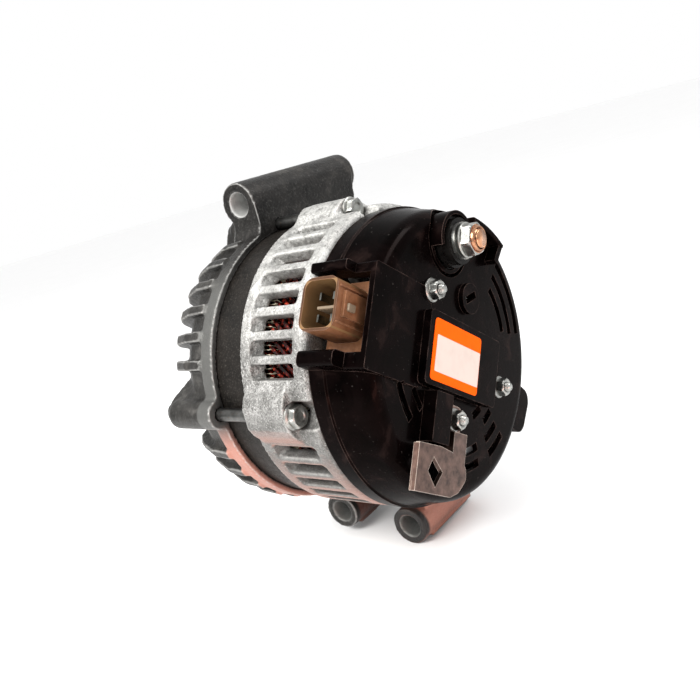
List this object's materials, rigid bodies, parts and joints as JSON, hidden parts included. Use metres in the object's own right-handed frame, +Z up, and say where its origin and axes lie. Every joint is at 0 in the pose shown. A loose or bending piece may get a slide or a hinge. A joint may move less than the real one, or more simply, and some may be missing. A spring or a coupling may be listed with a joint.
{
  "type": "car alternator",
  "caption": "Belt-driven car alternator: finned cast housings around a hairpin stator and claw-pole rotor, with a ribbed pulley, mounting ears and a plastic rear cover with its connector.",
  "frame": {"origin": "centre of the pulley's belt track on the shaft axis", "axes": "+Y along the shaft toward the rear cover, +X along the mounting bores toward the ear's near end, +Z up toward the upper mounting ear"},
  "size_m": [0.1426, 0.153, 0.178],
  "materials": {
    "front_casting": "as cast, oil-darkened",
    "rear_casting": "as cast",
    "stator_steel": "varnished laminations",
    "winding_enamel": "red-brown enamelled copper",
    "machined_steel": "ground steel",
    "rotor_steel": "forged, turned outside",
    "pressed_steel": "pressed sheet",
    "pulley_steel": "phosphated",
    "zinc_steel": "zinc plated",
    "bare_copper": "bare and enamelled copper",
    "terminal_copper": "copper plated",
    "plate_aluminium": "pressed plate",
    "black_resin": "moulded",
    "brush_carbon": "pressed carbon",
    "spring_steel": "drawn wire",
    "grey_resin": "moulded",
    "cover_resin": "glossy moulded",
    "label_film": "printed film, left blank"
  },
  "bodies": {
    "stator_frame": {"drive_end_housing": "front_casting", "slip_ring_end_housing": "rear_casting", "stator_core": "stator_steel", "stator_winding": "winding_enamel", "front_bearing_outer": "machined_steel", "rear_bearing_outer": "machined_steel", "bearing_retainer": "pressed_steel", "harness_bracket": "pressed_steel", "through_bolts": "zinc_steel", "retainer_screws": "zinc_steel", "rectifier_screws": "zinc_steel", "regulator_screws": "zinc_steel", "cover_studs": "zinc_steel", "cover_nuts": "zinc_steel", "b_plus_washer": "zinc_steel", "b_plus_nut": "zinc_steel", "diodes_negative": "zinc_steel", "diodes_positive": "zinc_steel", "b_plus_stud": "terminal_copper", "connector_pins": "terminal_copper", "rectifier_plate_negative": "plate_aluminium", "rectifier_plate_positive": "plate_aluminium", "rectifier_terminal_block": "black_resin", "b_plus_insulator": "black_resin", "regulator_body": "black_resin", "brush_holder": "black_resin", "brush_spring_positive": "spring_steel", "brush_spring_negative": "spring_steel", "connector_shell": "grey_resin", "rear_cover": "cover_resin", "harness_clip": "cover_resin", "rating_label": "label_film"},
    "rotor": {"rotor_shaft": "machined_steel", "pole_piece_front": "rotor_steel", "pole_piece_rear": "rotor_steel", "fan_front": "pressed_steel", "fan_rear": "pressed_steel", "field_bobbin": "black_resin", "field_coil": "bare_copper", "slip_ring_insulator": "black_resin", "slip_ring_inner": "bare_copper", "slip_ring_outer": "bare_copper", "front_bearing_inner": "machined_steel", "rear_bearing_inner": "machined_steel", "pulley": "pulley_steel", "pulley_nut": "zinc_steel", "pulley_spacer": "machined_steel"},
    "front_ball_set": {"front_bearing_balls": "machined_steel", "front_bearing_cage": "black_resin"},
    "rear_ball_set": {"rear_bearing_balls": "machined_steel", "rear_bearing_cage": "black_resin"},
    "brush_positive_body": {"brush_positive": "brush_carbon"},
    "brush_negative_body": {"brush_negative": "brush_carbon"}
  },
  "joints": [
    {"name": "rotor_spin", "type": "hinge", "parent": "stator_frame", "child": "rotor", "pos_m": [0, 0, 0], "axis": [0, 1, 0], "continuous": true},
    {"name": "front_ball_spin", "type": "hinge", "parent": "stator_frame", "child": "front_ball_set", "pos_m": [0, 0.023, 0], "axis": [0, 1, 0], "continuous": true},
    {"name": "rear_ball_spin", "type": "hinge", "parent": "stator_frame", "child": "rear_ball_set", "pos_m": [0, 0.0915, 0], "axis": [0, 1, 0], "continuous": true},
    {"name": "brush_positive_slide", "type": "slide", "parent": "stator_frame", "child": "brush_positive_body", "axis": [0.8192, 0, 0.5736], "range_m": [0, 0.0045], "stiffness_N_per_m": 300, "springref_m": -0.004, "deforming": ["brush_spring_positive"]},
    {"name": "brush_negative_slide", "type": "slide", "parent": "stator_frame", "child": "brush_negative_body", "axis": [0.8192, 0, 0.5736], "range_m": [0, 0.0045], "stiffness_N_per_m": 300, "springref_m": -0.004, "deforming": ["brush_spring_negative"]}
  ],
  "couplings": [
    {"joint": "front_ball_spin", "follows": "rotor_spin", "ratio": 0.375},
    {"joint": "rear_ball_spin", "follows": "rotor_spin", "ratio": 0.38}
  ]
}
